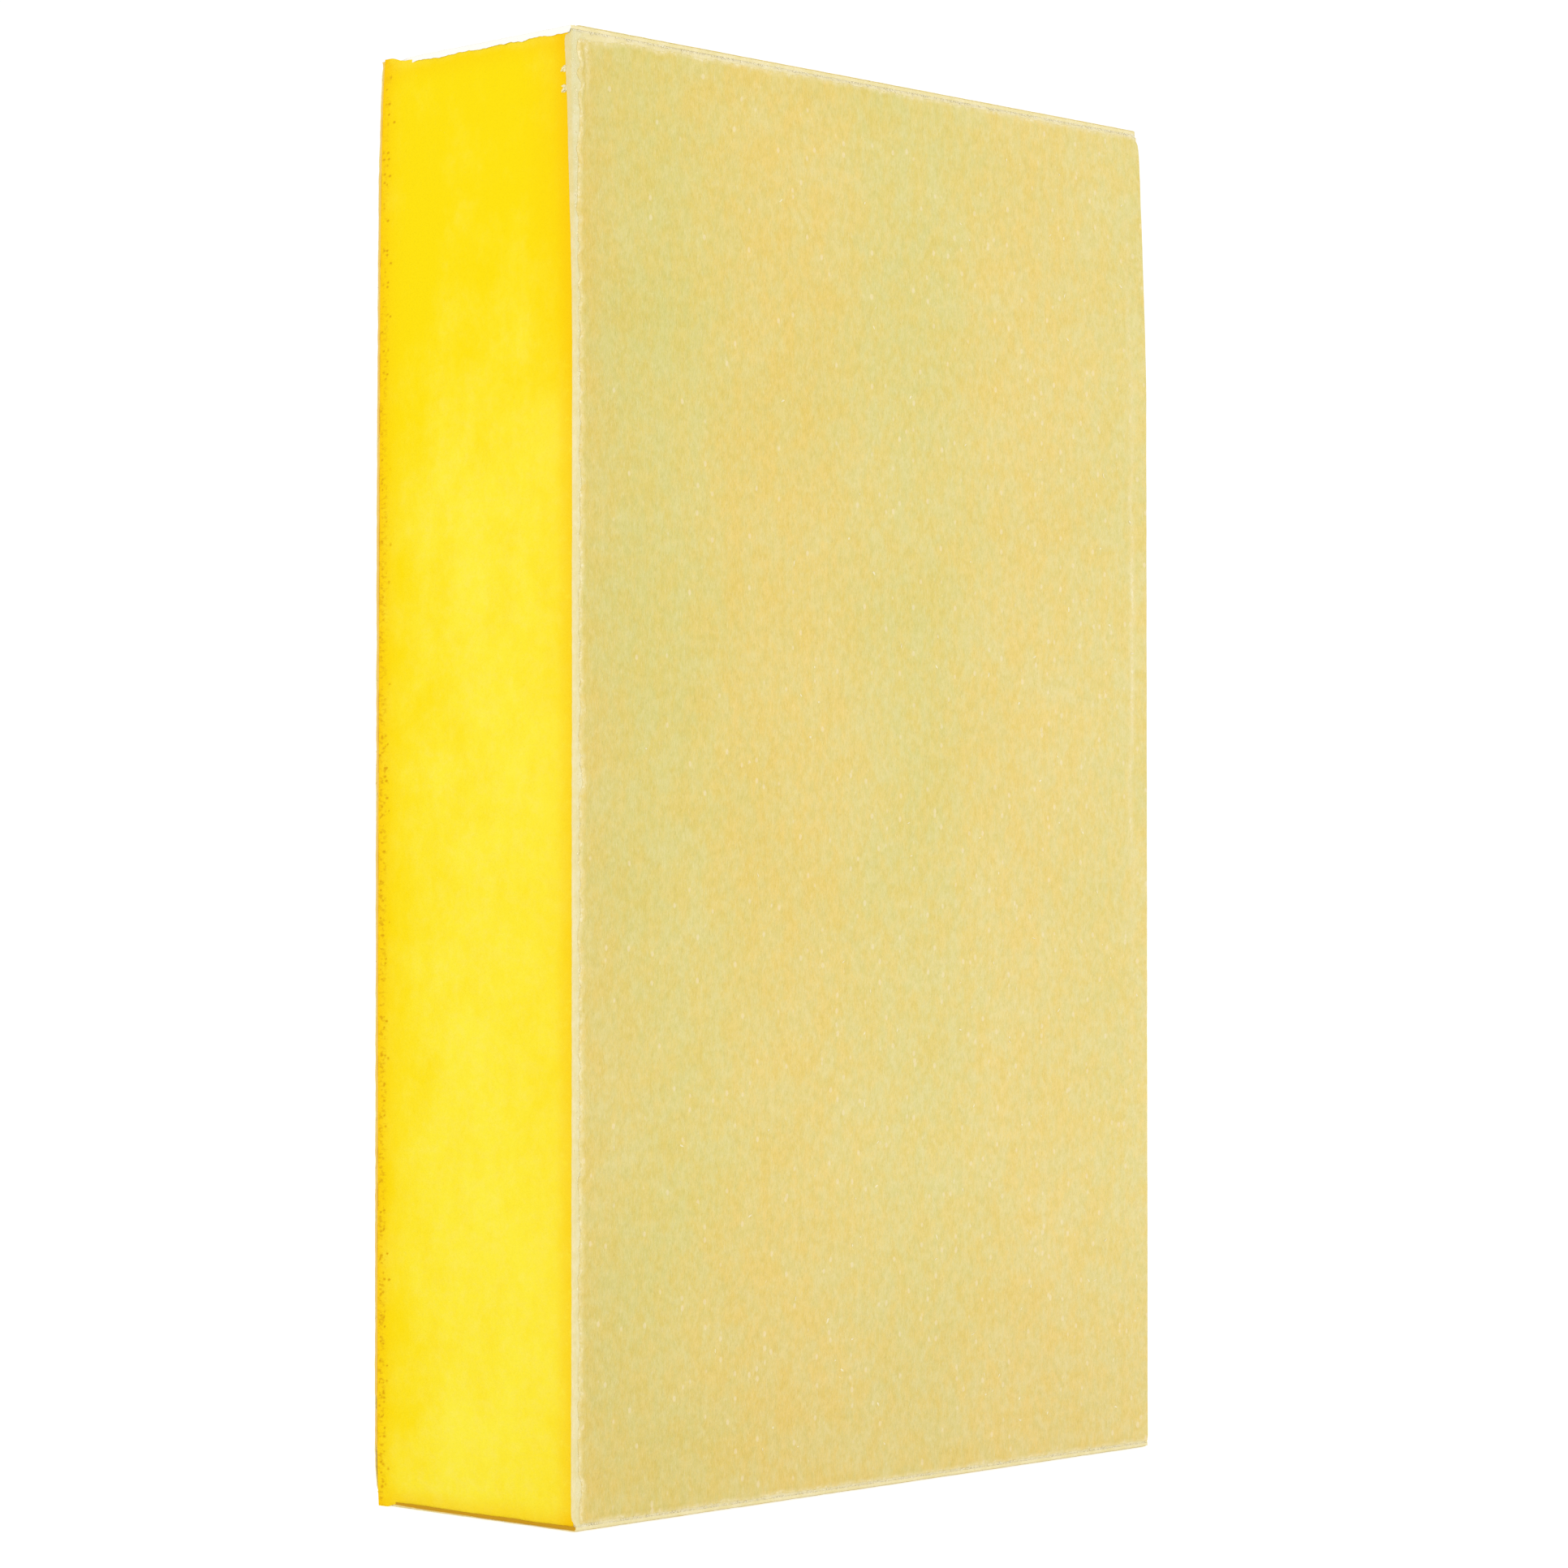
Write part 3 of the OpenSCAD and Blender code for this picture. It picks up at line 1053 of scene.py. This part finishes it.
def foam_sides(points):
    """The two bare sides: almost flush with the sheets' edges, uneven, with pores. Gives the moved
    points and how deep in a pore each is."""
    outward = np.sign(points[:, 0])
    on_side = np.abs(np.abs(points[:, 0]) - FOAM_WIDTH / 2) < 1e-4
    plane = points[:, 1:]
    from_back = FOAM_THICKNESS / 2 - points[:, 1]
    pore = np.zeros(len(points))
    for side, seed in ((-1, 3), (1, 4)):
        centres, radii = foam_pores(np.random.default_rng(seed))
        mine = np.flatnonzero(on_side & (outward == side) & (from_back < BACK_BAND + 0.3))
        gaps = (plane[mine, None] - centres[None]) / radii[None, :, None] / [1.3, 0.9]
        pore[mine] = np.exp(-(gaps**2).sum(2).min(1))
    spread = FOAM_SPREAD - 0.035 * (1 + rough(plane, 9.0, 5)) - 0.008 * rough(plane, 0.5, 6)
    spread = np.minimum(spread + 0.05 * near(from_back, 2), FOAM_SPREAD + 0.05)
    near_side = near(FOAM_WIDTH / 2 - np.abs(points[:, 0]), 1)
    points = points.copy()
    points[:, 0] += outward * (spread * near_side - PORE_DEPTH * pore)
    return points, pore


def foam_shades(points):
    """How orange and how pale the foam is: orange along its edges, as its own skin by the back edge
    and as painted shade along the seams with the sheets, pale low down and to the front.
    """
    plane = points[:, 1:]
    from_back = np.maximum(FOAM_THICKNESS / 2 - points[:, 1], 0)
    from_front = points[:, 1] + FOAM_THICKNESS / 2
    from_top = LENGTH - BUILD_UP - points[:, 2]
    from_bottom = points[:, 2] - BUILD_UP
    rim = np.exp(-from_back / RIM_BACK_FADE) * (1 - fading(RIM_BACK_LOSS, from_bottom))
    # Painted shade in orange along the seams with the front, top and bottom sheets
    rim = rim + fading(SEAM_SHADE_FRONT, from_front) + fading(SEAM_SHADE_TOP, from_top)
    rim = rim + fading(SEAM_SHADE_FRONT_WIDE, from_front) * (0.35 + fading(UPPER_HALF, from_top))
    rim = rim + fading(SEAM_SHADE_BOTTOM, from_bottom)
    forward = 1 - near(from_back, 15)
    pale = (1 - near(from_top, 60)) * (0.3 + 0.7 * forward) + 0.3 * near(from_bottom, 50) * forward
    pale = pale + 0.45 * rough(plane, (7, 11), 21) + 0.1 + near(from_top, 1.2)
    nicked = np.exp(-(((from_back - 0.45) / 0.42) ** 2)) * (0.35 + 0.65 * (1 - near(from_top, 60)))
    return np.clip(rim, 0, 1), np.clip(pale, 0, 1), nicked


def foam_core(material):
    """The foam block, with a dense grid on its two bare sides for their pores and unevenness."""
    thick, long = FOAM_THICKNESS / 2 - FOAM_ROUND, FOAM_LENGTH / 2 - FOAM_ROUND
    middle = (2 * thick - BACK_BAND - FRONT_BAND, FOAM_STEP)
    across = spaced(-thick, (BACK_BAND, FOAM_BACK_STEP), middle, (FRONT_BAND, FOAM_FRONT_STEP))
    along = spaced(-long, (2 * long, FOAM_LONG_STEP))
    arc = [FOAM_ROUND * (1 - math.cos(angle)) for angle in (math.pi / 4, math.pi / 2)]
    walls = [(depth, math.sqrt(FOAM_ROUND**2 - (FOAM_ROUND - depth) ** 2)) for depth in arc]
    walls += [(depth, FOAM_ROUND) for depth in WALL_RINGS]
    walls += [(FOAM_WIDTH - depth, spread) for depth, spread in reversed(walls) if depth < 1]
    local, faces = grid_box(across, along, walls, far=FOAM_WIDTH)
    points = np.stack([-FOAM_WIDTH / 2 - local[:, 2], -local[:, 0], local[:, 1] + LENGTH / 2], 1)
    rim, pale, nicked = foam_shades(points)
    points, pore = foam_sides(points)
    points = settled(foam_lips(points))
    piece = add_piece(
        "foam_core_look", points, faces, material, rim=rim, pore=pore, pale=pale, nicked=nicked
    )
    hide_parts("foam_core")


# ---- Loose detail ----

# The least and the greatest half sizes of a grain, across, along and out of its face
CRUMB_SIZES = (0.05, 0.05, 0.03), (0.13, 0.11, 0.07)
FLAKE_SIZES = (0.05, 0.11, 0.018), (0.12, 0.31, 0.028)
FLUFF_SIZES = (0.06, 0.04, 0.03), (0.16, 0.09, 0.05)
TUFT_SIZES = (0.08, 0.12, 0.12), (0.13, 0.22, 0.24)
TUFT_HEART = (0.14, 0.34, 0.30)

CRUMBS_PER_SQUARE = 7
FLAKES_PER_SQUARE = 0.05
FLAKE_MARGIN = 1.2
FLAKE_SUNK = 0.018


def loose_grit(face, material, random):
    """Crumbs of broken grit along a sheet's cut edges, and flakes lying on its face."""
    half = np.array([WIDTH, face.sheet_length]) / 2
    places, sizes = [], []
    for axis, side in itertools.product((0, 1), (-1, 1)):
        bare = face.bare[2 * axis + (side > 0)]
        count = round(2 * half[1 - axis] * CRUMBS_PER_SQUARE * bare)
        place = np.zeros((count, 3))
        place[:, 1 - axis] = random.uniform(-half[1 - axis] + 0.3, half[1 - axis] - 0.3, count)
        place[:, axis] = side * (half[axis] - bare * random.uniform(0.55, 1.4, count) - 0.05)
        place[:, 2] = -GRIT
        places.append(place)
        sizes.append(random.uniform(*CRUMB_SIZES, (count, 3)))
    count = round(4 * half[0] * half[1] * FLAKES_PER_SQUARE)
    inner = np.append(half - FLAKE_MARGIN, 0)
    place = random.uniform(-inner, inner, (count, 3))
    kept = random.uniform(0, 1, count) < coating_bleach(face, place) ** 1.5
    place = place[kept]
    place[:, 2] = -FLAKE_SUNK
    places.append(place)
    sizes.append(random.uniform(*FLAKE_SIZES, (len(place), 3)))
    local, faces = grains(np.concatenate(places), np.concatenate(sizes), random)
    piece = add_piece(face.name + "_loose_grit", laid(face, local), faces, material)


FIBRES_PER_MM = 2.4
FIBRE_SHORT, FIBRE_LONG = 0.08, 0.32


def edge_fibres(face, material, random):
    """Paper fibres that lie along a sheet's cut edges and lift a little from them."""
    points, inwards = outline(WIDTH, face.sheet_length, PAPER_CORNER, 1 / FIBRES_PER_MM)
    kept = ~hidden_ends(face, points)
    points, inwards = points[kept], inwards[kept]
    count = len(points)
    flat = points + inwards * random.uniform(0.06, 0.25, (count, 1))
    start = np.column_stack([flat, -GRIT - random.uniform(0, 0.8, count) * PAPER])
    run = np.column_stack([-inwards[:, 1], inwards[:, 0], np.zeros(count)])
    length = random.uniform(FIBRE_SHORT, FIBRE_LONG, count) * random.choice([-1, 1], count)
    way = run * length[:, None]
    way[:, 2] += random.uniform(-0.08, 0.04, count)
    curl = np.column_stack([inwards, np.zeros(count)]) * random.uniform(-0.07, 0.02, (count, 1))
    curl[:, 2] += random.normal(0, 0.04, count)
    radii = random.uniform(0.010, 0.024, count)
    local, faces = fibres(start, way, curl, radii)
    piece = add_piece(
        face.name + "_edge_fibres", laid(face, local), faces, material, cut=cut_look(face, local)
    )


FLUFF_PER_MM = 10


def seam_fluff(face, material, random):
    """Paper dust caught in the two seams where a large face's sheet meets the end sheets."""
    count = round(WIDTH * FLUFF_PER_MM)
    across = random.uniform(-WIDTH / 2 + 0.3, WIDTH / 2 - 0.3, 2 * count)
    end = np.repeat([-1, 1], count)
    along = end * (face.sheet_length / 2 + random.normal(-0.03, 0.05, 2 * count))
    out = random.uniform(-0.10, -0.05, 2 * count)
    sizes = random.uniform(*FLUFF_SIZES, (2 * count, 3))
    local, faces = grains(np.column_stack([across, along, out]), sizes, random)
    points = laid(face, local)
    piece = add_piece(face.name + "_seam_fluff", points, faces, material, cut=np.full(len(local), 0.35))


TUFT_DROPS = (3.2, 4.9)
TUFT_GRAINS = 16


def torn_tufts(face, material, random):
    """Two tufts of torn paper beside the front sheet's -X edge, lying on the foam near the top."""
    places = []
    for drop in TUFT_DROPS:
        place = random.normal([0.03, 0, -SHEET - 0.40], [0.02, 0.15, 0.15], (TUFT_GRAINS, 3))
        place[0] = [0, 0, -SHEET - 0.42]
        places.append(place + [-WIDTH / 2 + 0.08, face.sheet_length / 2 - drop, 0])
    places = np.concatenate(places)
    sizes = random.uniform(*TUFT_SIZES, (len(places), 3))
    sizes[::TUFT_GRAINS] = TUFT_HEART
    local, faces = grains(places, sizes, random)
    points = laid(face, local)
    piece = add_piece("front_torn_tufts", points, faces, material, cut=np.full(len(local), 0.1))


# ---- Studio ----

# Where the camera stands, in block lengths from the foot of the block's near edge
CAMERA_RANGE = 2.9394
CAMERA_ASIDE = 0.14176
CAMERA_HEIGHT = 0.43897
CAMERA_YAW = math.radians(46.547)
CAMERA_PITCH = math.radians(1.086)
CAMERA_LENS = 102.08
CAMERA_SENSOR = 36


def add_camera():
    """The camera looks along +X and +Y at the near edge, from about the block's middle height."""
    ahead = Vector((math.sin(CAMERA_YAW), math.cos(CAMERA_YAW), 0))
    right = Vector((ahead.y, -ahead.x, 0))
    up = Vector((0, 0, 1))
    near_edge = Vector(LOW) * MM
    data = bpy.data.cameras.new("camera")
    data.lens = CAMERA_LENS
    data.sensor_width = CAMERA_SENSOR
    camera = placed("camera", data)
    offset = right * CAMERA_ASIDE - ahead * CAMERA_RANGE + up * CAMERA_HEIGHT
    camera.location = near_edge + offset * float(LENGTH * MM)
    view = ahead * math.cos(CAMERA_PITCH) + up * math.sin(CAMERA_PITCH)
    camera.rotation_euler = view.to_track_quat("-Z", "Y").to_euler()
    bpy.context.scene.camera = camera


def add_lamp(name, place, size, power):
    """A soft square lamp, in metres and watts, that faces the block's middle."""
    data = bpy.data.lights.new(name, "AREA")
    data.size = size
    data.energy = power
    lamp = placed(name, data)
    lamp.location = place
    target = Vector((0, 0, float(LENGTH * MM / 2)))
    lamp.rotation_euler = (target - lamp.location).to_track_quat("-Z", "Y").to_euler()


TABLE_GREY = (0.5, 0.5, 0.5, 1)
TABLE_GLOW = 0.66


def table_material():
    """A pale table, lit through from below so that shadows on it stay light."""
    material, _, shader = new_material("pale_lit_table")
    shader.inputs["Base Color"].default_value = TABLE_GREY
    shader.inputs["Roughness"].default_value = 0.9
    shader.inputs["Specular IOR Level"].default_value = 0
    shader.inputs["Emission Color"].default_value = (1, 1, 1, 1)
    shader.inputs["Emission Strength"].default_value = TABLE_GLOW
    return material


TABLE_RADIUS = 3.0
TABLE_SIDES = 96
WORLD_LIGHT = 1.05

# Each lamp's name, its place and size in metres, and its power in watts
LAMPS = [
    ("key", (-0.95, -0.30, 0.45), 0.5, 3.2),
    ("fill", (0.45, -1.05, 0.40), 0.6, 1.8),
    ("back", (0.75, 0.85, 0.55), 0.6, 3.0),
]


def add_table():
    """A wide round table top under the block."""
    mesh = bpy.data.meshes.new("table")
    angles = np.linspace(0, 2 * math.pi, TABLE_SIDES, endpoint=False)
    rim = TABLE_RADIUS * np.column_stack([np.cos(angles), np.sin(angles)])
    points = np.column_stack([rim, np.full(TABLE_SIDES, LOW[2] * MM)])
    mesh.from_pydata(points.tolist(), [], [list(range(TABLE_SIDES))])
    mesh.materials.append(table_material())
    table = placed("table", mesh)


def add_studio():
    """White surroundings and a few soft lamps, brightest from the left of the front."""
    scene = bpy.context.scene
    scene.view_settings.view_transform = "Standard"
    world = bpy.data.worlds.new("white_studio")
    world.use_nodes = True
    background = world.node_tree.nodes["Background"]
    background.inputs["Color"].default_value = (1, 1, 1, 1)
    background.inputs["Strength"].default_value = WORLD_LIGHT
    scene.world = world
    for lamp in LAMPS:
        add_lamp(*lamp)
    add_table()


# ---- Putting it together ----

grit = grit_material()
paper = paper_material()
glue = glue_material()
crumbs = crumb_material()

foam_core(foam_material())
for face in FACES:
    grit_coat(face, grit)
    paper_backing(face, paper)
    glue_film(face, glue)
    loose_grit(face, crumbs, np.random.default_rng(100 + face.number))
    edge_fibres(face, paper, np.random.default_rng(200 + face.number))
    if is_large(face):
        seam_fluff(face, paper, np.random.default_rng(400 + face.number))
torn_tufts(FACES[0], paper, np.random.default_rng(300))

add_camera()
add_studio()
